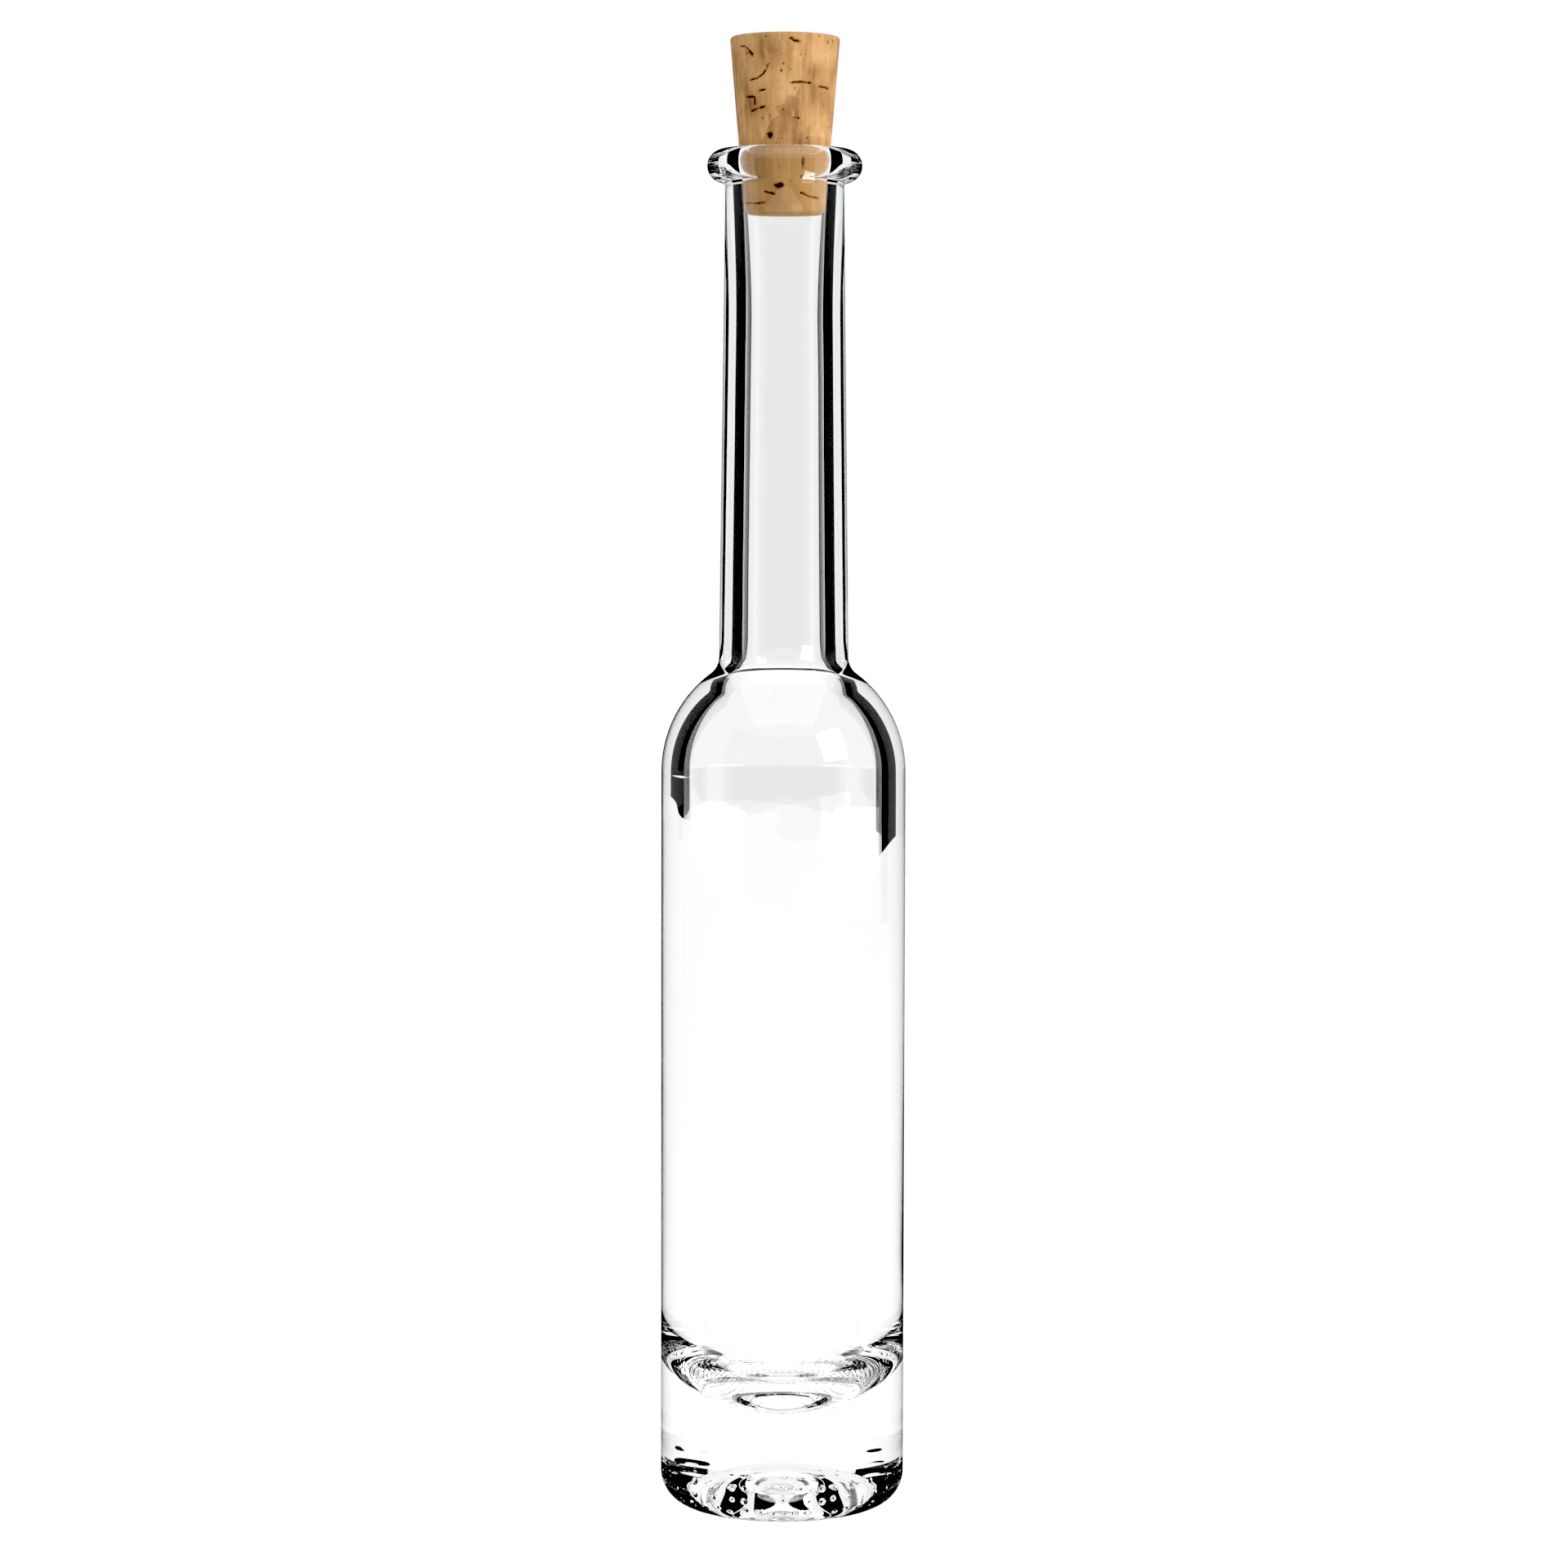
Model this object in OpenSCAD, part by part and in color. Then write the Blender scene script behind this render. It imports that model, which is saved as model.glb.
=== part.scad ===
// A tall clear glass bottle with a long neck, a ring round its lip and a tapered cork.
// Millimetres. The bottle stands on the plane z = 0 and its axis is the Z axis.
// The glass is one piece: its outline and its cavity are two profiles, each turned about the axis.

/* [Body] */
// Outside diameter of the body
body_d = 40; // [36:0.5:60]
// Thickness of the glass in the body's wall
wall = 3.8; // [2:0.1:5]
// Height at which the straight body ends and the ball-shaped shoulder begins
shoulder_h = 121; // [90:1:150]

/* [Base] */
// Radius of the rounded heel, where the wall turns under the bottle
heel_r = 5.5; // [3:0.1:6]
// Height of the lowest point of the cavity above the table
floor_h = 15.6; // [12:0.1:30]
// Height of the domed hollow under the base
punt_h = 7.7; // [3:0.1:9]
// Width of the flat ring that the bottle stands on, between the heel and the hollow
foot_ring_w = 1.3; // [0.5:0.1:3]
// Rounding of the glass between that ring and the hollow
punt_edge_r = 0.9; // [0.3:0.1:1.5]

/* [Neck] */
// Outside diameter of the neck where it meets the shoulder
neck_root_d = 20.8; // [19:0.1:24]
// Outside diameter of the neck under the lip ring
neck_top_d = 19.4; // [18.5:0.1:22]
// Diameter of the bore through the neck
bore_d = 13.4; // [10:0.1:14]
// Radius of the outer sweep from neck to shoulder
neck_sweep_r = 3.3; // [1:0.1:8]
// Radius of the inner sweep from bore to shoulder
bore_sweep_r = 3.6; // [1:0.1:8]

/* [Lip and mouth] */
// Height of the glass, from the table to the top of the lip
glass_h = 222.2; // [190:0.1:260]
// Outside diameter of the ring round the lip
lip_d = 25.2; // [23.5:0.1:30]
// Thickness of the ring's round section
lip_t = 5.3; // [4.5:0.1:6.5]
// Radius of the small hollow between the ring and the neck
lip_sweep_r = 0.8; // [0.4:0.1:1.5]
// Diameter of the mouth, which takes the cork
mouth_d = 14.8; // [14.2:0.1:15.6]
// Rounding of the mouth's inner edge
mouth_edge_r = 0.8; // [0.3:0.1:1]
// Depth of the mouth's straight part
mouth_depth = 10; // [6:0.5:16]
// Length over which the mouth narrows to the bore
mouth_taper_l = 6; // [3:0.5:12]

/* [Cork] */
// Length of the cork
cork_l = 29; // [20:0.5:36]
// Diameter of the cork's top face
cork_top_d = 17.9; // [16.2:0.1:20]
// Diameter of the cork's lower end
cork_foot_d = 13.05; // [11:0.05:13.8]
// Rounding of the cork's top edge
cork_top_edge_r = 0.5; // [0.2:0.1:1.5]
// Rounding of the cork's lower edge
cork_foot_edge_r = 1.1; // [0.3:0.1:2]
// Clearance all round between the cork and the mouth where the cork seats
cork_clearance = 0.03; // [0.01:0.01:0.1]

/* [Hidden] */
$fn = 144;

// Room past a shape's own limits, so that a cut goes right through
over = 1;

body_r = body_d / 2;
cavity_r = body_r - wall;
neck_root_r = neck_root_d / 2;
neck_top_r = neck_top_d / 2;
bore_r = bore_d / 2;
mouth_r = mouth_d / 2;

// The lip ring's section is a circle, level with the top of the glass
lip_r = lip_t / 2;
lip_x = lip_d / 2 - lip_r;
lip_z = glass_h - lip_r;

// The hollow under the base is part of a ball, which the rounding of its edge touches
punt_edge_x = body_r - heel_r - foot_ring_w;
punt_ball_r = (pow(punt_edge_x, 2) + pow(punt_h, 2) - 2 * punt_edge_r * punt_h) / (2 * punt_h);
punt_ball_z = punt_h - punt_ball_r;

// The cork's cone sinks in until it meets the foot of the mouth's rounded edge
cork_top_r = cork_top_d / 2;
cork_foot_r = cork_foot_d / 2;
cork_taper = (cork_top_r - cork_foot_r) / cork_l;
cork_depth = (mouth_r - cork_clearance - cork_foot_r) / cork_taper;
cork_z = glass_h - mouth_edge_r - cork_depth;

glass_colour = [0.86, 0.92, 0.93, 0.4];
cork_colour = [0.78, 0.6, 0.42];

// A disc of radius r round the point (x, z) of the profile
module disc(x, z, r) {
    translate([x, z]) circle(r);
}

// Everything on the outer side of the axis, which is the part of a profile that can be turned
module right_side() {
    translate([0, -glass_h]) square([body_d, 3 * glass_h]);
}

// A ball of radius ball_r round the height ball_z with a stem on it, which tapers from root_r at the
// ball's surface to top_r at top_z. A hollow arc of radius sweep_r touches both and blends them.
module ball_and_stem(ball_r, ball_z, root_r, top_r, top_z, sweep_r) {
    root_z = ball_z + sqrt(ball_r * ball_r - root_r * root_r);
    lean = atan((root_r - top_r) / (top_z - root_z));
    // The stem's radius if its side ran on down to the height of the ball's centre
    low_r = root_r + (root_z - ball_z) * tan(lean);
    // Distance from the ball's centre to the middle of the arc, square to the stem's side
    reach = low_r * cos(lean) + sweep_r;
    rise = sqrt(pow(ball_r + sweep_r, 2) - reach * reach);
    arc_x = reach * cos(lean) - rise * sin(lean);
    arc_z = ball_z + reach * sin(lean) + rise * cos(lean);
    // Where the arc touches the stem and the ball
    stem_x = arc_x - sweep_r * cos(lean);
    stem_z = arc_z - sweep_r * sin(lean);
    touch = ball_r / (ball_r + sweep_r);

    disc(0, ball_z, ball_r);
    polygon([[0, ball_z], [low_r, ball_z], [top_r, top_z], [0, top_z]]);
    difference() {
        polygon([
            [0, ball_z],
            [arc_x * touch, ball_z + (arc_z - ball_z) * touch],
            [arc_x, arc_z],
            [stem_x, stem_z],
            [0, stem_z]
        ]);
        disc(arc_x, arc_z, sweep_r);
    }
}

// The straight body with its rounded heel
module body_outline() {
    translate([0, heel_r]) square([body_r, shoulder_h - heel_r]);
    square([body_r - heel_r, heel_r + over]);
    disc(body_r - heel_r, heel_r, heel_r);
}

// The bead round the lip, the glass behind it, and the small hollow that joins it to the neck
module lip_outline() {
    // The hollow's arc touches the neck's side and the bead
    arc_x = neck_top_r + lip_sweep_r;
    arc_z = lip_z - sqrt(pow(lip_r + lip_sweep_r, 2) - pow(arc_x - lip_x, 2));

    disc(lip_x, lip_z, lip_r);
    translate([0, lip_z]) square([lip_x, lip_r]);
    difference() {
        polygon([[0, arc_z], [arc_x, arc_z], [lip_x, lip_z], [0, lip_z]]);
        disc(arc_x, arc_z, lip_sweep_r);
    }
}

// The domed hollow under the base, with its edge rounded into the ring that the bottle stands on
module punt_cut() {
    touch = punt_ball_r / (punt_ball_r + punt_edge_r);

    disc(0, punt_ball_z, punt_ball_r);
    difference() {
        polygon([
            [0, punt_ball_z],
            [punt_edge_x, -over],
            [punt_edge_x, punt_edge_r],
            [punt_edge_x * touch, punt_ball_z + (punt_edge_r - punt_ball_z) * touch]
        ]);
        disc(punt_edge_x, punt_edge_r, punt_edge_r);
    }
}

// The mouth's rounded edge, its straight part, and the cone that leads down to the bore
module mouth_cut() {
    foot_z = glass_h - mouth_depth;

    polygon([
        [0, foot_z - mouth_taper_l],
        [bore_r, foot_z - mouth_taper_l],
        [mouth_r, foot_z],
        [mouth_r, glass_h + over],
        [0, glass_h + over]
    ]);
    difference() {
        translate([0, glass_h - mouth_edge_r]) square([mouth_r + mouth_edge_r, mouth_edge_r + over]);
        disc(mouth_r + mouth_edge_r, glass_h - mouth_edge_r, mouth_edge_r);
    }
}

// The bowl-shaped floor, the straight cavity, the inner shoulder and the bore, up to the mouth
module cavity_cut() {
    bowl_z = floor_h + cavity_r;

    disc(0, bowl_z, cavity_r);
    translate([0, bowl_z]) square([cavity_r, shoulder_h - bowl_z]);
    ball_and_stem(cavity_r, shoulder_h, bore_r, bore_r, glass_h - mouth_depth, bore_sweep_r);
}

// The bottle, moulded in one piece
module glass_bottle() {
    color(glass_colour)
        rotate_extrude()
            intersection() {
                difference() {
                    union() {
                        body_outline();
                        ball_and_stem(body_r, shoulder_h, neck_root_r, neck_top_r, lip_z, neck_sweep_r);
                        lip_outline();
                    }
                    punt_cut();
                    cavity_cut();
                    mouth_cut();
                }
                right_side();
            }
}

// The cork, a cone with both edges rounded
module cork_stopper() {
    lean = atan(cork_taper);
    // Each rounding touches the cone's side and an end face
    foot_x = cork_foot_r - cork_foot_edge_r * (1 - sin(lean)) / cos(lean);
    top_x = cork_top_r - cork_top_edge_r * (1 + sin(lean)) / cos(lean);

    color(cork_colour)
        translate([0, 0, cork_z])
            rotate_extrude()
                intersection() {
                    union() {
                        disc(foot_x, cork_foot_edge_r, cork_foot_edge_r);
                        disc(top_x, cork_l - cork_top_edge_r, cork_top_edge_r);
                        polygon([
                            [0, 0],
                            [foot_x, 0],
                            [
                                foot_x + cork_foot_edge_r * cos(lean),
                                cork_foot_edge_r * (1 - sin(lean))
                            ],
                            [
                                top_x + cork_top_edge_r * cos(lean),
                                cork_l - cork_top_edge_r * (1 + sin(lean))
                            ],
                            [top_x, cork_l],
                            [0, cork_l]
                        ]);
                    }
                    right_side();
                }
}

glass_bottle();
cork_stopper();
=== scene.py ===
# %% [markdown]
# A tall clear glass bottle with a tapered cork.
#
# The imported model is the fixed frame: it says where the two pieces are and how far the cork slides.
# This lesson dresses that frame. Glass shows almost nothing of itself, only what stands round it and
# how its walls bend that, so the walls' true thickness and the studio matter as much as any material.

# %% Load the frame
import math
import random

import bpy
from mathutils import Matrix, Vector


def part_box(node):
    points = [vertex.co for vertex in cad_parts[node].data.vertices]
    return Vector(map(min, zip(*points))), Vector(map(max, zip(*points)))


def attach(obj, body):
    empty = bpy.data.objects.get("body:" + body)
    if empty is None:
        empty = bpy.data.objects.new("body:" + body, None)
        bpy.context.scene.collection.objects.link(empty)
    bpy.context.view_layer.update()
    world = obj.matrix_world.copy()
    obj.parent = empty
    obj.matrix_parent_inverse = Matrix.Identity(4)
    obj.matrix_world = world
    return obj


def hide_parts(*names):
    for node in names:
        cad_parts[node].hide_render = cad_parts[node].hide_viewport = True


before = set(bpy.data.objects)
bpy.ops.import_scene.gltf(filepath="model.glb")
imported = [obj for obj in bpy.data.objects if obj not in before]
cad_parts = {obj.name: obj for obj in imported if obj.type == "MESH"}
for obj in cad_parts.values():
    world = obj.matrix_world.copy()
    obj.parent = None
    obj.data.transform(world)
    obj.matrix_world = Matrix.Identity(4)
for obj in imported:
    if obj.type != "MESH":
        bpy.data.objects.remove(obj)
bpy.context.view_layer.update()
MM = 0.001

# %% [markdown]
# Shader maths and Geometry Nodes both read better as formulas than as boxes and noodles. A Wire holds
# one output of a node. Arithmetic on wires adds the Math nodes for it, and every other node comes from
# one method, which sets the node's options before it fills its sockets.


# %% A wire that writes node trees as formulas
class Wire:
    """One output socket of a node. Arithmetic on wires adds Math nodes to their tree."""

    def __init__(self, tree, socket=None):
        self.tree = tree
        self.socket = socket

    def node(self, kind, settings=None, inputs=None, output=0):
        """Adds a node, sets its options, then fills its sockets with numbers or wires."""
        made = self.tree.nodes.new(kind)
        for name, value in (settings or {}).items():
            if name == "stops":
                while len(made.color_ramp.elements) < len(value):
                    made.color_ramp.elements.new(1.0)
                for element, (place, colour) in zip(made.color_ramp.elements, value):
                    element.position = place
                    element.color = (*colour, 1.0)
            else:
                setattr(made, name, value)
        for name, value in (inputs or {}).items():
            if isinstance(value, Wire):
                self.tree.links.new(value.socket, made.inputs[name])
            else:
                made.inputs[name].default_value = value
        return Wire(self.tree, made.outputs[output])

    def also(self, output):
        """Another output of the same node."""
        return Wire(self.tree, self.socket.node.outputs[output])

    def math(self, operation, *values):
        """A Math node on numbers or wires."""
        return self.node("ShaderNodeMath", {"operation": operation}, dict(enumerate(values)))

    def __add__(self, other):
        return self.math("ADD", self, other)

    __radd__ = __add__

    def __sub__(self, other):
        return self.math("SUBTRACT", self, other)

    def __rsub__(self, other):
        return self.math("SUBTRACT", other, self)

    def __mul__(self, other):
        return self.math("MULTIPLY", self, other)

    __rmul__ = __mul__

    def __truediv__(self, other):
        return self.math("DIVIDE", self, other)

    def floor(self):
        return self.math("FLOOR", self)

    def ease(self, low, high):
        """0 below low, 1 above high, and a smooth step between them."""
        settings = {"interpolation_type": "SMOOTHSTEP"}
        return self.node("ShaderNodeMapRange", settings, {0: self, 1: low, 2: high})

    def blend(self, first, second):
        """A colour that goes from first to second as this wire goes from 0 to 1."""
        settings = {"data_type": "RGBA"}
        return self.node("ShaderNodeMix", settings, {0: self, 6: first, 7: second}, 2)


# %% [markdown]
# Every size of the bottle is named once, in metres, with the same meaning as in the part's source.
# The photograph's dark bands gave the wall's thickness: a thick wall bends the view behind it further
# than a thin one, so where a band starts and ends tells how far the bore is from the outside.

# %% Sizes of the bottle
BODY_R = 20 * MM
CAVITY_R = 16.2 * MM
THIN_MIDDLE = 0.15 * MM
SHOULDER_H = 121 * MM
HEEL_R = 5.5 * MM
FLOOR_H = 15.6 * MM
PUNT_H = 7.7 * MM
FOOT_RING_W = 1.3 * MM
PUNT_EDGE_R = 0.9 * MM
NECK_ROOT_R = 10.6 * MM
NECK_TOP_R = 9.65 * MM
BORE_ROOT_R = 6.8 * MM
BORE_TOP_R = 6.25 * MM
NECK_SWEEP_R = 3.3 * MM
BORE_SWEEP_R = 14 * MM
GLASS_H = 222.2 * MM
LIP_OUTER_R = 12.6 * MM
LIP_R = 2.65 * MM
LIP_SWEEP_R = 0.8 * MM
MOUTH_R = 7.4 * MM
MOUTH_EDGE_R = 0.8 * MM
MOUTH_FOOT_R = 6.75 * MM
MOUTH_DEPTH = 11 * MM
MOUTH_TAPER_L = 16 * MM
print("glass:", round(GLASS_H * 1000, 1), "mm tall,", round(BODY_R * 2000, 1), "mm wide")

# %% [markdown]
# The camera comes first, because the whole image hangs on it. It stands 0.7 m in front of the axis,
# 161 mm above the table, and looks down by 3.4 degrees. These come from the photograph: the rings of
# the lip and the base show how far above or below each ring the lens was.

# %% Camera
SENSOR_W = 36.0
FOCAL_PX = 5236
IMAGE_PX = 1920
CAMERA_DISTANCE = 0.7
CAMERA_H = 0.161
LOOK_DOWN = 3.44
ROLL = -0.13

camera_data = bpy.data.cameras.new("camera")
camera_data.sensor_width = SENSOR_W
camera_data.lens = FOCAL_PX / IMAGE_PX * SENSOR_W
camera = bpy.data.objects.new("camera", camera_data)
camera.location = (0.0, -CAMERA_DISTANCE, CAMERA_H)
camera.rotation_euler = (math.radians(90 - LOOK_DOWN), math.radians(ROLL), 0.0)
bpy.context.scene.collection.objects.link(camera)
bpy.context.scene.camera = camera
print("lens:", round(camera_data.lens, 1), "mm")

# %% [markdown]
# Glass is lit by its surroundings. In a white room it would vanish, so black cards stand round the
# bottle, as in a product studio: the walls bend them inwards into the dark bands of the neck and the
# shoulder. The cards stand 1.8 m away, left, right and in front, and the camera never sees them itself.
# Low down the view through the glass meets the pale floor before the cards, so the bands end there.
#
# The glass's own surface mirrors most at its edges. The white room, the backdrop and the floor are kept
# out of its reflections, so those edges stay dark, as the photograph's thin outlines are. Two low
# windows and a card overhead are left to give highlights.

# %% Studio
# Tones below this share of white are shown as black
DARK_LEVEL = 0.05
# The distance of the large cards from the axis, and their height over the table, in metres
CARD_DISTANCE = 1.78
CARD_H = 2.0
FRONT_CARD_H = 1.6
# The edges of the backdrop and of the black cards beside it, in degrees from the backdrop's middle
BACKDROP_EDGE = 26
FLAG_EDGE = 68
# Half the width of the black card behind the camera, in degrees
FRONT_FLAG_HALF = 68
# The small windows: their distance, and the heights of their lower and upper edges
WINDOW_DISTANCE = 0.9
WINDOW_FOOT = 0.036
WINDOW_TOP = 0.058

scene = bpy.context.scene
scene.view_settings.view_transform = "Standard"
scene.view_settings.look = "None"
scene.view_settings.use_curve_mapping = True
scene.view_settings.curve_mapping.black_level = (DARK_LEVEL,) * 3
scene.view_settings.curve_mapping.update()
scene.cycles.max_bounces = 32
scene.cycles.transmission_bounces = 28
scene.cycles.glossy_bounces = 8
scene.cycles.diffuse_bounces = 3
scene.cycles.caustics_refractive = True
scene.cycles.caustics_reflective = False
scene.cycles.use_denoising = True

world = bpy.data.worlds.new("white_room")
scene.world = world
world.use_nodes = True
world.node_tree.nodes["Background"].inputs["Color"].default_value = (1, 1, 1, 1)
world.node_tree.nodes["Background"].inputs["Strength"].default_value = 1.0
world.cycles_visibility.glossy = False


def blank_material(name):
    """A material with an empty tree and its output, ready for wires."""
    material = bpy.data.materials.new(name)
    material.use_nodes = True
    material.node_tree.nodes.clear()
    output = material.node_tree.nodes.new("ShaderNodeOutputMaterial")
    return material, Wire(material.node_tree), output.inputs["Surface"]


def link_mesh(name, vertices, faces, material):
    """Makes a mesh object from points and faces."""
    mesh = bpy.data.meshes.new(name)
    mesh.from_pydata(vertices, [], faces)
    mesh.materials.append(material)
    made = bpy.data.objects.new(name, mesh)
    scene.collection.objects.link(made)
    return made


def glow_material(name, strength):
    """An even white light, or black where the strength is 0."""
    material, wire, surface = blank_material(name)
    shader = wire.node("ShaderNodeEmission", None, {"Color": (1, 1, 1, 1), "Strength": strength})
    material.node_tree.links.new(shader.socket, surface)
    return material


def stage_card(name, azimuth, half_width, distance, bottom, top, material, steps=12):
    """A curved card round the bottle. Azimuth 0 is behind the bottle, positive to the right."""
    points, faces = [], []
    for i in range(steps + 1):
        turn = math.radians(azimuth - half_width + 2 * half_width * i / steps)
        x, y = distance * math.sin(turn), distance * math.cos(turn)
        points += [(x, y, bottom), (x, y, top)]
    for i in range(steps):
        a = 2 * i
        faces.append((a, a + 2, a + 3, a + 1))
    card = link_mesh(name, points, faces, material)
    card.visible_camera = False
    card.visible_diffuse = False
    card.visible_shadow = False
    return card


black = glow_material("black_card", 0.0)
flag_middle = (FLAG_EDGE + BACKDROP_EDGE) / 2
flag_half = (FLAG_EDGE - BACKDROP_EDGE) / 2
for side in (-1, 1):
    stage_card(f"flag_back_{side}", side * flag_middle, flag_half, CARD_DISTANCE, 0.0, CARD_H, black)
stage_card("flag_front", 180, FRONT_FLAG_HALF, CARD_DISTANCE, 0.0, FRONT_CARD_H, black, 24)

white = glow_material("white_card", 1.0)
backdrop = stage_card("backdrop", 0, BACKDROP_EDGE, CARD_DISTANCE, 0.0, CARD_H, white)
backdrop.visible_glossy = False
window = glow_material("window_card", 3.0)
stage_card("window_left", -111, 24, WINDOW_DISTANCE, WINDOW_FOOT, WINDOW_TOP, window)
stage_card("window_right", 105, 26, WINDOW_DISTANCE, WINDOW_FOOT, WINDOW_TOP, window)
sky = glow_material("sky_card", 1.0)
corners = [(-0.6, -0.9, 1.1), (0.6, -0.9, 1.1), (0.6, 0.5, 1.3), (-0.6, 0.5, 1.3)]
overhead = link_mesh("overhead", corners, [(0, 1, 2, 3)], sky)
for hidden in ("camera", "diffuse", "shadow", "transmission"):
    setattr(overhead, "visible_" + hidden, False)

key = bpy.data.lights.new("key", "AREA")
key.energy = 7.0
key.size = 0.5
key_light = bpy.data.objects.new("key", key)
key_light.location = (0.75, -0.45, 0.55)
key_light.rotation_euler = (math.radians(62), 0.0, math.radians(59))
key_light.visible_glossy = False
scene.collection.objects.link(key_light)
print("studio: backdrop", 2 * BACKDROP_EDGE, "degrees wide, cards", CARD_DISTANCE, "m away")

# %% [markdown]
# The floor is a plain pale sheet, so large that its edge is beyond sight. Part of its light is its own,
# as on a lit acrylic table, which keeps it white like the backdrop and leaves only a breath of shadow.

# %% Floor
FLOOR_R = 8.0
FLOOR_SIDES = 96
FLOOR_Z = -0.05 * MM
floor_material, wire, surface = blank_material("pale_table")
glow = wire.node("ShaderNodeEmission", None, {"Color": (1, 1, 1, 1), "Strength": 0.82})
matt = wire.node("ShaderNodeBsdfDiffuse", None, {"Color": (0.25, 0.25, 0.25, 1)})
both = wire.node("ShaderNodeAddShader", None, {0: glow, 1: matt})
floor_material.node_tree.links.new(both.socket, surface)

turns = [2 * math.pi * i / FLOOR_SIDES for i in range(FLOOR_SIDES)]
rim = [(FLOOR_R * math.cos(turn), FLOOR_R * math.sin(turn), FLOOR_Z) for turn in turns]
floor = link_mesh("table", rim, [tuple(range(FLOOR_SIDES))], floor_material)
floor.visible_glossy = False
print("floor:", 2 * FLOOR_R, "m across")

# %% [markdown]
# The glass is a turned shape, so it is drawn as one profile: half of the outline of its section, from
# the middle of the hollow under the base, round the outside, over the lip and down the bore to the
# middle of the cavity's floor. One closed skin with a true thickness is what a ray tracer needs to
# bend light as real glass does. Two separate shells would bend it wrongly.


# %% Pieces of a profile
def arc(x, z, r, start, stop, step=4.0):
    """Points on an arc round (x, z), from one angle to another, in degrees."""
    count = max(2, math.ceil(abs(stop - start) / step))
    turns = [math.radians(start + (stop - start) * i / count) for i in range(count + 1)]
    return [(x + r * math.cos(t), z + r * math.sin(t)) for t in turns]


def straight(first, last, step):
    """Points strictly between two others, closer together near the ends, where curves begin."""
    length = math.dist(first, last)
    count = max(2, math.ceil(length / step))
    shares = [0.5 - 0.5 * math.cos(math.pi * i / count) for i in range(1, count)]
    return [tuple(a + (b - a) * s for a, b in zip(first, last)) for s in shares]


def stem_blend(ball_r, ball_z, root_r, top_r, top_z, sweep_r):
    """The hollow arc between a ball and a tapering stem: its centre, and its angles on both."""
    root_z = ball_z + math.sqrt(ball_r**2 - root_r**2)
    lean = math.atan((root_r - top_r) / (top_z - root_z))
    low_r = root_r + (root_z - ball_z) * math.tan(lean)
    reach = low_r * math.cos(lean) + sweep_r
    rise = math.sqrt((ball_r + sweep_r) ** 2 - reach**2)
    x = reach * math.cos(lean) - rise * math.sin(lean)
    z = ball_z + reach * math.sin(lean) + rise * math.cos(lean)
    on_ball = math.degrees(math.atan2(z - ball_z, x))
    return x, z, on_ball, math.degrees(lean)


# %% The glass profile
TAPER_STEPS = 12


def base_profile():
    """From the middle of the hollow under the base to the top of the rounded heel."""
    edge_x = BODY_R - HEEL_R - FOOT_RING_W
    ball_r = (edge_x**2 + PUNT_H**2 - 2 * PUNT_EDGE_R * PUNT_H) / (2 * PUNT_H)
    ball_z = PUNT_H - ball_r
    touch = math.degrees(math.atan2(PUNT_EDGE_R - ball_z, edge_x))
    dome = arc(0, ball_z, ball_r, 90, touch, 2.5)
    edge = arc(edge_x, PUNT_EDGE_R, PUNT_EDGE_R, touch + 180, 270, 6)
    ring = straight(edge[-1], (BODY_R - HEEL_R, 0), 0.3 * MM)
    heel = arc(BODY_R - HEEL_R, HEEL_R, HEEL_R, -90, 0, 4)
    return dome + edge[1:] + ring + heel


def outside_profile():
    """From the heel up the side, over the shoulder and up the neck to the hollow under the lip."""
    lip_x, lip_z = LIP_OUTER_R - LIP_R, GLASS_H - LIP_R
    x, z, on_ball, lean = stem_blend(BODY_R, SHOULDER_H, NECK_ROOT_R, NECK_TOP_R, lip_z, NECK_SWEEP_R)
    shoulder = arc(0, SHOULDER_H, BODY_R, 0, on_ball, 2)
    sweep = arc(x, z, NECK_SWEEP_R, on_ball - 180, lean - 180, 4)
    hollow_x = NECK_TOP_R + LIP_SWEEP_R
    hollow_z = lip_z - math.sqrt((LIP_R + LIP_SWEEP_R) ** 2 - (hollow_x - lip_x) ** 2)
    turn = math.degrees(math.atan2(lip_z - hollow_z, lip_x - hollow_x))
    hollow = arc(hollow_x, hollow_z, LIP_SWEEP_R, 180, turn, 10)
    bead = arc(lip_x, lip_z, LIP_R, turn - 180, 90, 5)
    side = straight((BODY_R, HEEL_R), shoulder[0], 5 * MM)
    neck = straight(sweep[-1], hollow[0], 3.5 * MM)
    return side + shoulder + sweep[1:] + neck + hollow + bead[1:]


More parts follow.
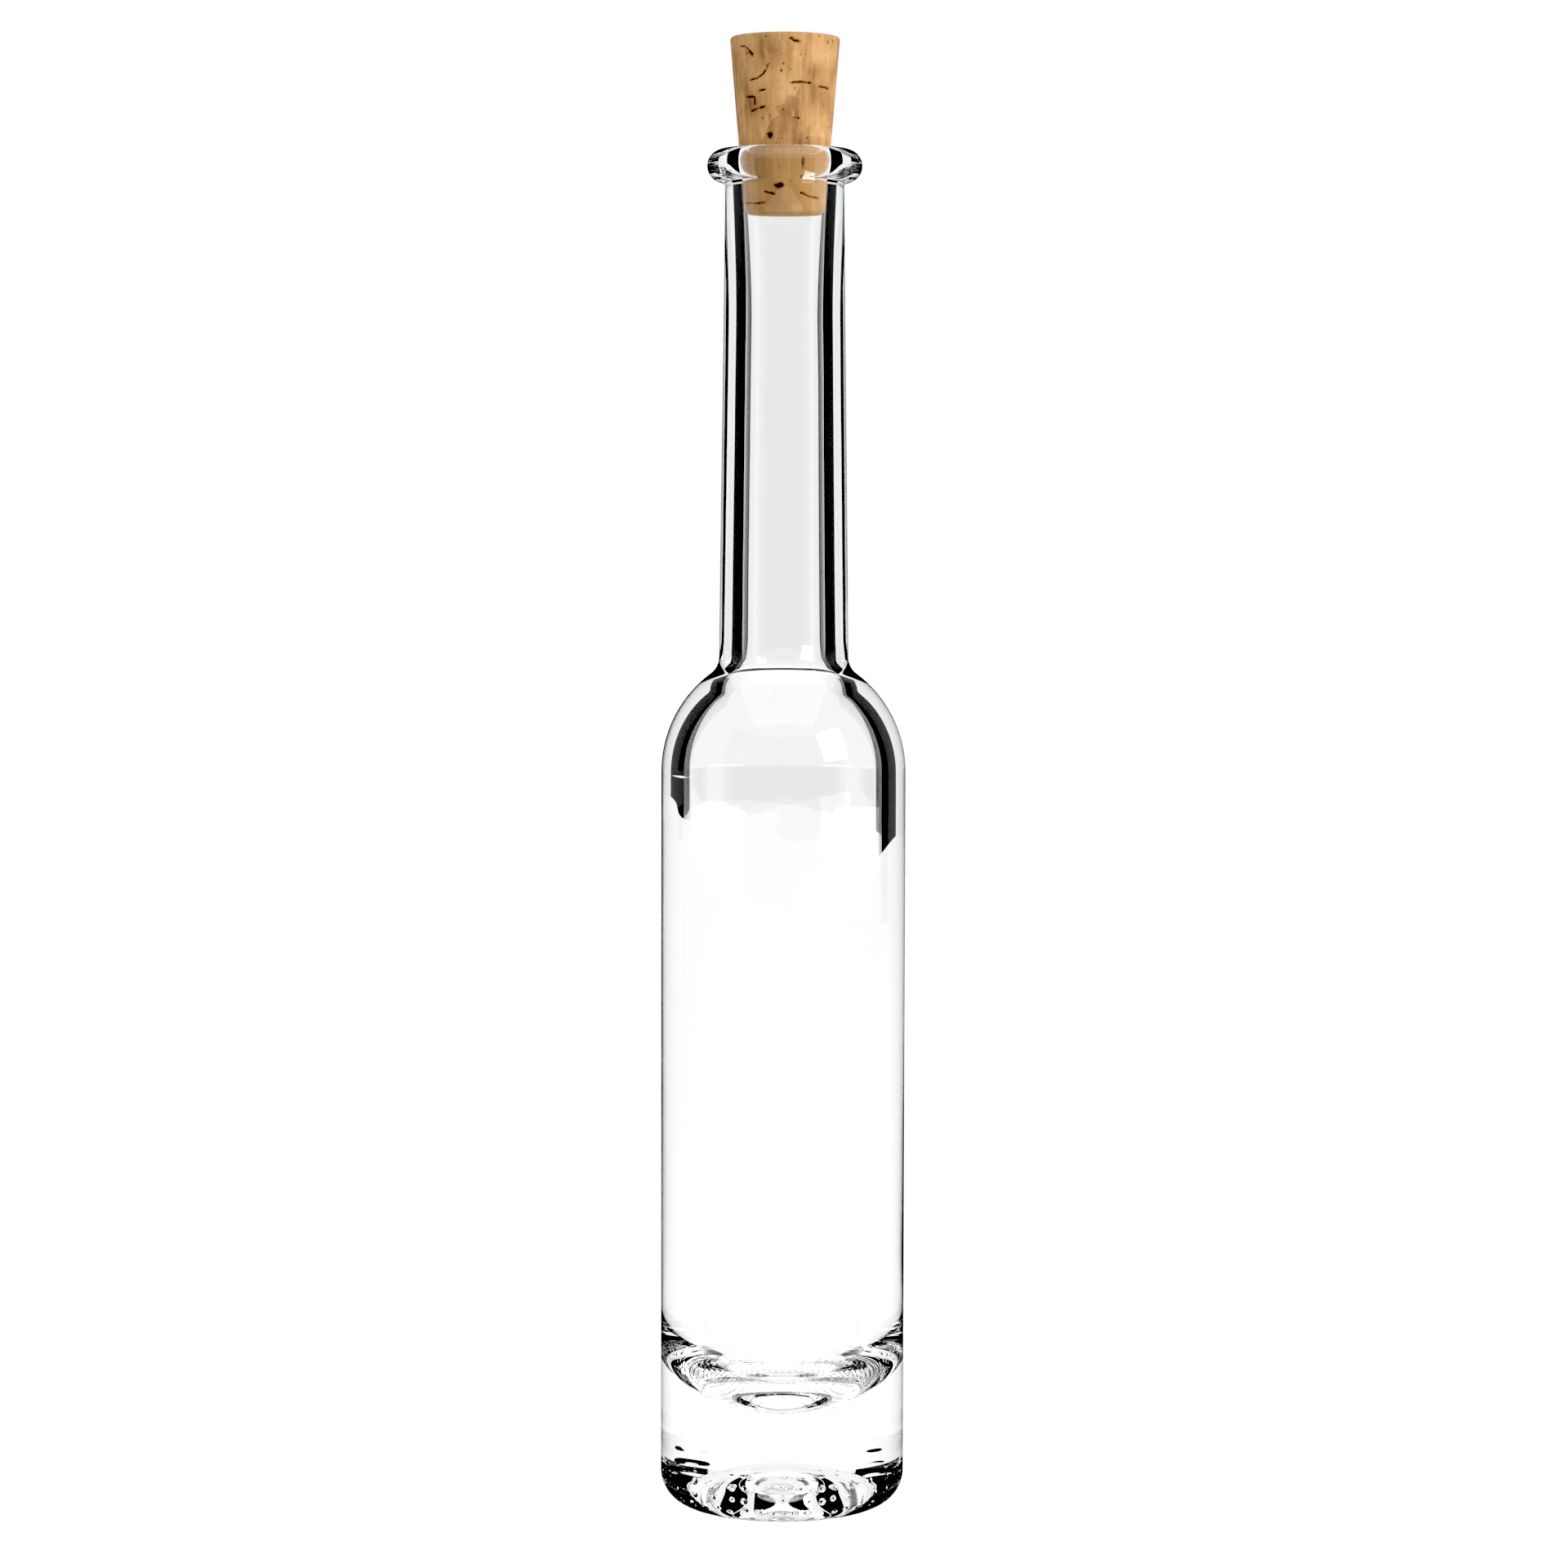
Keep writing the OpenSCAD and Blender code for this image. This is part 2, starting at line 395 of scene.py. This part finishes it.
def inside_profile():
    """From the top of the lip into the mouth, down the bore and the cavity to the middle of its floor."""
    edge = arc(MOUTH_R + MOUTH_EDGE_R, GLASS_H - MOUTH_EDGE_R, MOUTH_EDGE_R, 90, 180, 8)
    foot_z = GLASS_H - MOUTH_DEPTH
    bore_z = foot_z - MOUTH_TAPER_L
    mouth = straight(edge[-1], (MOUTH_FOOT_R, foot_z), 1.5 * MM)
    taper = []
    for i in range(TAPER_STEPS + 1):
        share = i / TAPER_STEPS
        # Goes on with the mouth's slope and ends upright, where it meets the bore
        eased = 1.6 * share - 0.2 * share**2 - 0.4 * share**3
        x = MOUTH_FOOT_R + (BORE_TOP_R - MOUTH_FOOT_R) * eased
        taper.append((x, foot_z + (bore_z - foot_z) * share))
    x, z, on_ball, lean = stem_blend(CAVITY_R, SHOULDER_H, BORE_ROOT_R, BORE_TOP_R, bore_z, BORE_SWEEP_R)
    sweep = arc(x, z, BORE_SWEEP_R, lean - 180, on_ball - 180, 4)
    shoulder = arc(0, SHOULDER_H, CAVITY_R, on_ball, 0, 2)
    bowl_z = FLOOR_H + CAVITY_R
    bowl = arc(0, bowl_z, CAVITY_R, 0, -90, 2.5)
    bore = straight(taper[-1], sweep[0], 3.5 * MM)
    side = []
    for x, z in straight(shoulder[-1], bowl[0], 4 * MM):
        share = (SHOULDER_H - z) / (SHOULDER_H - bowl_z)
        side.append((x + THIN_MIDDLE * math.sin(math.pi * share) ** 2, z))
    return edge + mouth + taper + bore + sweep + shoulder[1:] + side + bowl


outer_points = base_profile() + outside_profile()
inner_points = inside_profile()
glass_profile = outer_points + inner_points
print("glass profile:", len(glass_profile), "points")

# %% [markdown]
# A blown or pressed bottle is never perfect inside. The mould shapes the outside, but the bore and the
# cavity wander by a few tenths of a millimetre, and that makes the bands in the glass swell and lean.
# Each point of the profile carries how far it may wander: nothing outside, nothing where the cork
# seats, and most in the body. Geometry Nodes read that value when they turn the profile.


# %% How far each point may wander, and where the foot is ribbed
# Lengths over which the wander fades in below the mouth and above the cavity's floor
MOUTH_FADE = 12 * MM
FLOOR_CALM = 6 * MM
FLOOR_FADE = 20 * MM
# The wander's share in the neck, and the heights round the shoulder between which it changes
NECK_WANDER = 0.5
CHANGE_START = 18 * MM
CHANGE_L = 40 * MM
# The ribs lie on a band of the foot: its middle, half its width and its height
RIB_BAND_R = BODY_R - HEEL_R - 0.3 * MM
RIB_BAND_HALF = 1.6 * MM
RIB_BAND_TOP = 2 * MM


def clamped(share):
    """The share, kept between 0 and 1."""
    return min(1.0, max(0.0, share))


def wander_at(z):
    """Share of the wander at a height of the inner profile."""
    below_mouth = clamped((GLASS_H - MOUTH_DEPTH - MOUTH_TAPER_L - z) / MOUTH_FADE)
    above_floor = clamped((z - FLOOR_H - FLOOR_CALM) / FLOOR_FADE)
    in_body = clamped((SHOULDER_H + CHANGE_START - z) / CHANGE_L)
    in_body = in_body * in_body * (3 - 2 * in_body)
    return below_mouth * above_floor * (NECK_WANDER + (1 - NECK_WANDER) * in_body)


def rib_at(x, z):
    """Share of the ribs' height at a point of the outer profile: they cross the foot ring."""
    return max(0.0, 1 - ((x - RIB_BAND_R) / RIB_BAND_HALF) ** 2) if z < RIB_BAND_TOP else 0.0


wander = [0.0] * len(outer_points) + [wander_at(z) for _, z in inner_points]
ribs = [rib_at(x, z) for x, z in outer_points] + [0.0] * len(inner_points)
print("points that wander:", sum(v > 0 for v in wander), "and that are ribbed:", sum(v > 0 for v in ribs))


def profile_mesh(name, points, **values):
    """A line of points in the plane y = 0, each with its own named values."""
    mesh = bpy.data.meshes.new(name)
    mesh.from_pydata([(x, 0, z) for x, z in points], [(i, i + 1) for i in range(len(points) - 1)], [])
    for value_name, numbers in values.items():
        mesh.attributes.new(value_name, "FLOAT", "POINT").data.foreach_set("value", numbers)
    return mesh


# %% [markdown]
# Turning a profile by hand, with Spin, leaves a seam and two poles to mend. Here Geometry Nodes make a
# flat grid with one row for each point of the profile and one column for each step round the axis.
# Each grid point looks its profile point up by its row, turns it by its column's angle, and moves it a
# little by a slow noise. Merging by distance then closes the seam and the poles.


# %% Helpers for Geometry Nodes
# Points of the seam and the poles that lie closer than this become one
MERGE_WITHIN = 0.0005 * MM


def new_tree(name, **kinds):
    """A Geometry Nodes tree with named inputs. Returns it, a wire for it and its input wires."""
    tree = bpy.data.node_groups.new(name, "GeometryNodeTree")
    tree.interface.new_socket("Geometry", in_out="OUTPUT", socket_type="NodeSocketGeometry")
    tree.interface.new_socket("Geometry", in_out="INPUT", socket_type="NodeSocketGeometry")
    for key, kind in kinds.items():
        tree.interface.new_socket(key, in_out="INPUT", socket_type="NodeSocket" + kind)
    source = tree.nodes.new("NodeGroupInput")
    given = {key: Wire(tree, source.outputs[key]) for key in ("Geometry", *kinds)}
    return tree, Wire(tree), given


def end_tree(wire, shape, material):
    """Closes a tree: instances become real, and the material is set."""
    real = wire.node("GeometryNodeRealizeInstances", None, {0: shape})
    done = wire.node("GeometryNodeSetMaterial", None, {"Geometry": real, "Material": material})
    output = wire.tree.nodes.new("NodeGroupOutput")
    wire.tree.links.new(done.socket, output.inputs[0])


def grow(name, mesh, steps):
    """Runs a mesh through trees with their input values, and returns the result as a plain mesh object."""
    made = bpy.data.objects.new(name, mesh)
    scene.collection.objects.link(made)
    for tree, values in steps:
        modifier = made.modifiers.new(tree.name, "NODES")
        modifier.node_group = tree
        sockets = [item for item in tree.interface.items_tree if item.in_out == "INPUT"]
        places = {item.name: item.identifier for item in sockets}
        for input_name, value in values.items():
            modifier[places[input_name]] = value
    graph = bpy.context.evaluated_depsgraph_get()
    plain = bpy.data.meshes.new_from_object(made.evaluated_get(graph))
    made.modifiers.clear()
    made.data = plain
    plain.name = name
    bpy.data.meshes.remove(mesh)
    triangles = sum(len(face.vertices) - 2 for face in plain.polygons)
    print(name + ":", len(plain.vertices), "vertices,", triangles, "triangles")
    return made


def lathe_tree(name, material):
    """Turns the incoming profile about the Z axis, with a slow wander and ribs where it asks for them."""
    tree, wire, given = new_tree(
        name,
        Segments="Int",
        Wander="Float",
        WanderScale="Float",
        Seed="Float",
        RibCount="Int",
        RibHeight="Float",
    )
    profile = given["Geometry"]
    rows = wire.node("GeometryNodeAttributeDomainSize", {"component": "MESH"}, {0: profile})
    columns = given["Segments"] + 1
    grid = wire.node("GeometryNodeMeshGrid", None, {"Vertices X": columns, "Vertices Y": rows})
    index = wire.node("GeometryNodeInputIndex")
    column = (index / rows).floor()
    row = index - column * rows

    def look_up(value, kind):
        settings = {"domain": "POINT", "data_type": kind}
        inputs = {"Geometry": profile, "Value": value, "Index": row}
        return wire.node("GeometryNodeSampleIndex", settings, inputs)

    def named(key):
        return wire.node("GeometryNodeInputNamedAttribute", {"data_type": "FLOAT"}, {"Name": key})

    place = look_up(wire.node("GeometryNodeInputPosition"), "FLOAT_VECTOR")
    radius = wire.node("ShaderNodeSeparateXYZ", None, {0: place})
    height = radius.also(2)
    loose = look_up(named("wander"), "FLOAT")
    ribbed = look_up(named("ribs"), "FLOAT")

    angle = column * (2 * math.pi) / given["Segments"]
    across = radius * wire.math("COSINE", angle)
    along = radius * wire.math("SINE", angle)
    lift = ribbed * given["RibHeight"] * (0.5 - 0.5 * wire.math("COSINE", angle * given["RibCount"]))

    # The noise is stretched upright, as the glass is drawn while it is soft
    stretched = {0: across * 1.6, 1: along * 1.6, 2: height * 0.5 + given["Seed"]}
    spot = wire.node("ShaderNodeCombineXYZ", None, stretched)
    ways = {"Vector": spot, "Scale": given["WanderScale"], "Detail": 1.0}
    noise = wire.node("ShaderNodeTexNoise", None, ways, 1)
    shift_x = wire.node("ShaderNodeSeparateXYZ", None, {0: noise})
    shift_y = shift_x.also(1)
    reach = loose * given["Wander"] * 2
    moved = wire.node(
        "ShaderNodeCombineXYZ",
        None,
        {0: across + (shift_x - 0.5) * reach, 1: along + (shift_y - 0.5) * reach, 2: height + lift},
    )
    turned = wire.node("GeometryNodeSetPosition", None, {"Geometry": grid, "Position": moved})
    closed = wire.node("GeometryNodeMergeByDistance", None, {"Geometry": turned, "Distance": MERGE_WITHIN})
    smooth = wire.node("GeometryNodeSetShadeSmooth", None, {"Geometry": closed})
    end_tree(wire, smooth, material)
    return tree


# %% [markdown]
# Clear glass needs little from its material: full transmission, a refractive index of 1.5 and a skin
# so smooth that reflections stay sharp. What makes it real is small: a faint cold tint that grows a
# little in places, a skin that is not quite flat, so highlights swim, and plain rows of dots pressed
# into the hollow under the base.

# %% Glass material
PIP_HEIGHT = 0.2 * MM
SWIM_HEIGHT = 0.04 * MM
glass_material, wire, surface = blank_material("clear_glass")
place = wire.node("ShaderNodeTexCoord", output=3)
height = wire.node("ShaderNodeSeparateXYZ", None, {0: place}, 2)
streaks_at = wire.node("ShaderNodeMapping", None, {"Vector": place, "Scale": (1.0, 1.0, 0.25)})
streaks = wire.node("ShaderNodeTexNoise", None, {"Vector": streaks_at, "Scale": 45.0, "Detail": 2.0})
tint = streaks.blend((0.968, 0.978, 0.976, 1), (0.986, 0.991, 0.99, 1))

cells = wire.node("ShaderNodeTexVoronoi", None, {"Vector": place, "Scale": 480.0, "Randomness": 0.15})
under = 1 - height.ease(PUNT_H + 0.2 * MM, PUNT_H + 0.9 * MM)
pips = (1 - cells.ease(0.12, 0.36)) * under
swim = wire.node("ShaderNodeTexNoise", None, {"Vector": place, "Scale": 60.0, "Detail": 1.0})
relief = pips * PIP_HEIGHT + swim * SWIM_HEIGHT
skin = wire.node("ShaderNodeBump", None, {"Strength": 1.0, "Distance": 1.0, "Height": relief})
dulled = streaks * 0.006 + under * 0.01

clear = {"Base Color": tint, "Roughness": dulled, "IOR": 1.5, "Transmission Weight": 1.0, "Normal": skin}
glass_shader = wire.node("ShaderNodeBsdfPrincipled", None, clear)
glass_material.node_tree.links.new(glass_shader.socket, surface)
print(glass_material.name + ":", len(glass_material.node_tree.nodes), "nodes")

# %% Turn the glass
glass = grow(
    "bottle_glass",
    profile_mesh("glass_profile", glass_profile, wander=wander, ribs=ribs),
    [
        (
            lathe_tree("turn_glass", glass_material),
            {
                "Segments": 224,
                "Wander": 0.45 * MM,
                "WanderScale": 14.0,
                "Seed": 3.7,
                "RibCount": 56,
                "RibHeight": 0.12 * MM,
            },
        )
    ],
)

# %% [markdown]
# The cork is a cone cut from bark, with its grain upright. It is turned like the glass, then weathered:
# fine pits all over, and the few larger cracks and holes that every natural cork has.

# %% Sizes of the cork
CORK_L = 29 * MM
CORK_TOP_R = 8.95 * MM
CORK_FOOT_R = 6.525 * MM
CORK_TOP_EDGE_R = 0.5 * MM
CORK_FOOT_EDGE_R = 1.1 * MM
cork_low, cork_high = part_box("cork_stopper")
CORK_Z = cork_low.z
# Rows of points over the foot, the side and the top
FOOT_ROWS = 30
SIDE_ROWS = 170
TOP_ROWS = 40
print("cork: from", round(CORK_Z * 1000, 2), "to", round(cork_high.z * 1000, 2), "mm")


def cork_profile():
    """From the middle of the foot, up the tapered side, to the middle of the top."""
    lean = math.degrees(math.atan((CORK_TOP_R - CORK_FOOT_R) / CORK_L))
    turn = math.radians(lean)
    foot_x = CORK_FOOT_R - CORK_FOOT_EDGE_R * (1 - math.sin(turn)) / math.cos(turn)
    top_x = CORK_TOP_R - CORK_TOP_EDGE_R * (1 + math.sin(turn)) / math.cos(turn)
    foot = arc(foot_x, CORK_FOOT_EDGE_R, CORK_FOOT_EDGE_R, -90, -lean, 8)
    top = arc(top_x, CORK_L - CORK_TOP_EDGE_R, CORK_TOP_EDGE_R, -lean, 90, 9)
    under = [(foot_x * i / FOOT_ROWS, 0) for i in range(FOOT_ROWS)]
    side = []
    for i in range(1, SIDE_ROWS):
        side.append(tuple(a + (b - a) * i / SIDE_ROWS for a, b in zip(foot[-1], top[0])))
    over = [(top_x * i / TOP_ROWS, CORK_L) for i in range(TOP_ROWS - 1, -1, -1)]
    return [(x, z + CORK_Z) for x, z in under + foot + side + top + over]


# %% [markdown]
# Bark has lived: cracks and holes where it breathed and grew. The larger ones on the front are drawn
# where the photograph has them, as short strokes in millimetres across and above the foot. The back
# and sides get strokes of the same kind at seeded random places. They are thin lines lying on the
# cork, and Geometry Nodes press the skin in wherever it comes near one of them.


# %% Cracks and holes
# In millimetres, as the strokes are: the cork's mean radius, and the highest point of any random stroke
MEAN_R_MM = 8
STROKE_TOP_MM = 28.4


def cork_radius(height):
    """The cork's radius at a height above its foot."""
    return CORK_FOOT_R + (CORK_TOP_R - CORK_FOOT_R) * height / CORK_L


def on_cork(across, height):
    """A point on the front of the cork, given across and above its foot in millimetres."""
    r = cork_radius(height * MM)
    limit = 0.98 * r
    x = max(-limit, min(limit, across * MM))
    return (x, -math.sqrt(r * r - x * x), CORK_Z + height * MM)


FRONT_CRACKS = [
    [(-6.6, 26.8), (-6.0, 26.5), (-5.7, 25.9), (-5.3, 25.2)],
    [(-7.2, 27.0), (-6.3, 26.9)],
    [(0.9, 20.85), (2.2, 21.05), (4.1, 20.95)],
    [(1.9, 20.95), (3.3, 21.05)],
    [(-4.1, 19.7), (-3.3, 19.9)],
    [(-2.7, 24.0), (-3.1, 23.0), (-3.8, 22.2), (-4.6, 21.7), (-5.6, 21.5)],
    [(-6.2, 18.9), (-5.0, 18.8), (-4.9, 17.6)],
    [(5.6, 20.5), (7.0, 20.35)],
    [(-5.4, 16.6), (-3.4, 17.2)],
    [(1.6, 15.4), (2.2, 15.3)],
    [(-5.6, 1.9), (-4.2, 1.75), (-3.0, 1.85)],
    [(2.4, 3.4), (3.6, 2.8), (4.8, 2.6)],
    [(-3.0, 3.6), (-1.6, 3.2)],
]
FRONT_HOLES = [
    [(0.9, 27.85), (1.5, 27.6), (2.1, 27.45)],
    [(-5.75, 26.1), (-5.5, 25.6)],
    [(-2.5, 12.7), (-2.35, 12.6)],
    [(-1.3, 4.5), (-0.5, 4.6)],
]


def random_strokes(count, longest, seed):
    """Short strokes over the back and sides, each a start and a bend, the same ones each time."""
    draw = random.Random(seed)
    strokes = []
    for _ in range(count):
        angle = math.radians(draw.uniform(-20, 200))
        height = draw.uniform(1.5, 27.5)
        length = draw.uniform(0.15, longest)
        flat = draw.random() < 0.6
        stroke = []
        for i in range(3):
            turn = angle + (length * i / 2 if flat else draw.uniform(-0.1, 0.1)) / MEAN_R_MM
            level = height + (draw.uniform(-0.1, 0.1) if flat else length * i / 2)
            level = min(STROKE_TOP_MM, level) * MM
            r = cork_radius(level)
            stroke.append((r * math.cos(turn), r * math.sin(turn), CORK_Z + level))
        strokes.append(stroke)
    return strokes


def stroke_object(name, strokes):
    """One object that holds all strokes as edges."""
    points, edges = [], []
    for stroke in strokes:
        edges += [(len(points) + i, len(points) + i + 1) for i in range(len(stroke) - 1)]
        points += stroke
    mesh = bpy.data.meshes.new(name)
    mesh.from_pydata(points, edges, [])
    made = bpy.data.objects.new(name, mesh)
    scene.collection.objects.link(made)
    return made


front_cracks = [[on_cork(*point) for point in line] for line in FRONT_CRACKS]
front_holes = [[on_cork(*point) for point in line] for line in FRONT_HOLES]
cracks = stroke_object("crack_lines", front_cracks + random_strokes(34, 3.2, 5))
holes = stroke_object("hole_lines", front_holes + random_strokes(9, 0.7, 8))
print("strokes drawn on the front:", len(front_cracks), "cracks and", len(front_holes), "holes")


# %% Weather the cork
def weather_tree(name, material):
    """Presses pores, cracks and holes into the skin, and keeps how deep each point lies as a value, which the
    cork's colour also uses as painted shade in the pits.
    """
    tree, wire, given = new_tree(
        name,
        Cracks="Object",
        Holes="Object",
        CrackWidth="Float",
        HoleWidth="Float",
        Depth="Float",
        PoreScale="Float",
    )
    spot = wire.node("GeometryNodeInputPosition")
    rough = wire.node("ShaderNodeTexNoise", None, {"Vector": spot, "Scale": 1500.0, "Detail": 2.0})
    blotch = wire.node("ShaderNodeTexNoise", None, {"Vector": spot, "Scale": 260.0, "Detail": 1.0})

    def near(lines, width):
        shape = wire.node("GeometryNodeObjectInfo", None, {"Object": lines}).also("Geometry")
        reach = wire.node("GeometryNodeProximity", {"target_element": "EDGES"}, {0: shape}).also("Distance")
        return 1 - (reach / width + (rough - 0.5) * 2.4 + (blotch - 0.5) * 1.5).ease(0.3, 1.1)

    pore_ways = {"Vector": spot, "Scale": given["PoreScale"], "Randomness": 1.0}
    pore = wire.node("ShaderNodeTexVoronoi", None, pore_ways)
    pores = (1 - pore.ease(0.07, 0.17)) * blotch.ease(0.5, 0.62)
    cracked = near(given["Cracks"], given["CrackWidth"])
    holed = near(given["Holes"], given["HoleWidth"])
    pit = wire.math("MAXIMUM", wire.math("MAXIMUM", cracked, holed), pores * 0.7)
    kept = wire.node(
        "GeometryNodeStoreNamedAttribute",
        {"data_type": "FLOAT", "domain": "POINT"},
        {"Geometry": given["Geometry"], "Name": "pit", "Value": pit},
    )
    inward = wire.node("GeometryNodeInputNormal")
    sink = (pit + rough * 0.05) * given["Depth"] * -1
    offset = wire.node("ShaderNodeVectorMath", {"operation": "SCALE"}, {0: inward, "Scale": sink})
    dented = wire.node("GeometryNodeSetPosition", None, {"Geometry": kept, "Offset": offset})
    end_tree(wire, dented, material)
    return tree


# %% [markdown]
# Cork is tan with upright grain, in blocks of slightly different tone where the bark's yearly layers
# were cut across, and dark specks all over. Down in the mouth it is painted a shade darker and warmer,
# a painted shade for the cork as it looks inside the glass neck. The value that the weathering kept
# darkens each pit: partly the darker bark of cork's pores, partly painted shade in the pits' depth.

# %% Cork material
GRAIN_HEIGHT = 0.16 * MM
FLECK_DEPTH = 0.1 * MM
cork_material, wire, surface = blank_material("natural_cork")
place = wire.node("ShaderNodeTexCoord", output=3)
grain_at = wire.node("ShaderNodeMapping", None, {"Vector": place, "Scale": (1.0, 1.0, 0.12)})
grain_ways = {"Vector": grain_at, "Scale": 1100.0, "Detail": 5.0, "Roughness": 0.6}
grain = wire.node("ShaderNodeTexNoise", None, grain_ways)
clouds = wire.node("ShaderNodeTexNoise", None, {"Vector": place, "Scale": 210.0, "Detail": 4.0})
block_at = wire.node("ShaderNodeMapping", None, {"Vector": place, "Scale": (1.0, 1.0, 0.45)})
blocks = wire.node("ShaderNodeTexVoronoi", {"distance": "CHEBYCHEV"}, {"Vector": block_at, "Scale": 230.0}, 1)
block = wire.node("ShaderNodeSeparateColor", None, {0: blocks})
tone = grain * 0.38 + clouds * 0.44 + block * 0.14 + 0.01
stops = [
    (0.3, (0.17, 0.09, 0.042)),
    (0.43, (0.345, 0.19, 0.085)),
    (0.53, (0.455, 0.262, 0.118)),
    (0.75, (0.60, 0.385, 0.195)),
]
bark = wire.node("ShaderNodeValToRGB", {"stops": stops}, {0: tone})
fleck = wire.node("ShaderNodeTexVoronoi", None, {"Vector": place, "Scale": 950.0, "Randomness": 1.0})
dusty = wire.node("ShaderNodeTexNoise", None, {"Vector": place, "Scale": 520.0, "Detail": 2.0})
flecks = (1 - fleck.ease(0.12, 0.3)) * dusty.ease(0.52, 0.66)
spotted = (flecks * 0.75).blend(bark, (0.12, 0.055, 0.022, 1))
pit = wire.node("ShaderNodeAttribute", {"attribute_name": "pit"}, output=2)
height = wire.node("ShaderNodeSeparateXYZ", None, {0: place}, 2)
# Painted shade: the cork is drawn darker and warmer where it sits inside the glass mouth, for its look
# through the glass
mouth_shade_mask = 1 - height.ease(GLASS_H - 3 * MM, GLASS_H + 1 * MM)
with_mouth_shade = (mouth_shade_mask * 0.5).blend(spotted, (0.36, 0.21, 0.08, 1))
# Painted shade and pore colour: each pit darkens with its depth value, partly the darker bark of the pores,
# partly painted shade
coloured = (pit * 0.93).blend(with_mouth_shade, (0.035, 0.016, 0.008, 1))
relief = grain * GRAIN_HEIGHT - flecks * FLECK_DEPTH
bumps = wire.node("ShaderNodeBump", None, {"Strength": 0.7, "Distance": 1.0, "Height": relief})
matt = {"Base Color": coloured, "Roughness": 0.78 + clouds * 0.16, "Normal": bumps}
cork_shader = wire.node("ShaderNodeBsdfPrincipled", None, matt)
cork_material.node_tree.links.new(cork_shader.socket, surface)
print(cork_material.name + ":", len(cork_material.node_tree.nodes), "nodes")

# %% Turn and weather the cork
cork_points = cork_profile()
plain = [0.0] * len(cork_points)
turn_values = {
    "Segments": 300,
    "Wander": 0.0,
    "WanderScale": 1.0,
    "Seed": 0.0,
    "RibCount": 1,
    "RibHeight": 0.0,
}
weather_values = {
    "Cracks": cracks,
    "Holes": holes,
    "CrackWidth": 0.17 * MM,
    "HoleWidth": 0.42 * MM,
    "Depth": 0.38 * MM,
    "PoreScale": 560.0,
}
cork = grow(
    "cork",
    profile_mesh("cork_profile", cork_points, wander=plain, ribs=plain),
    [
        (lathe_tree("turn_cork", cork_material), turn_values),
        (weather_tree("weather_cork", cork_material), weather_values),
    ],
)
for lines in (cracks, holes):
    bpy.data.objects.remove(lines)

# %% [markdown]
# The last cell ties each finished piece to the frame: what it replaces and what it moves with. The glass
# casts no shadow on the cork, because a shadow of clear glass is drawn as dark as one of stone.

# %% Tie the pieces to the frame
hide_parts("glass_bottle")
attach(glass, "bottle")
glass.visible_diffuse = False
glass.visible_shadow = False
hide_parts("cork_stopper")
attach(cork, "cork")
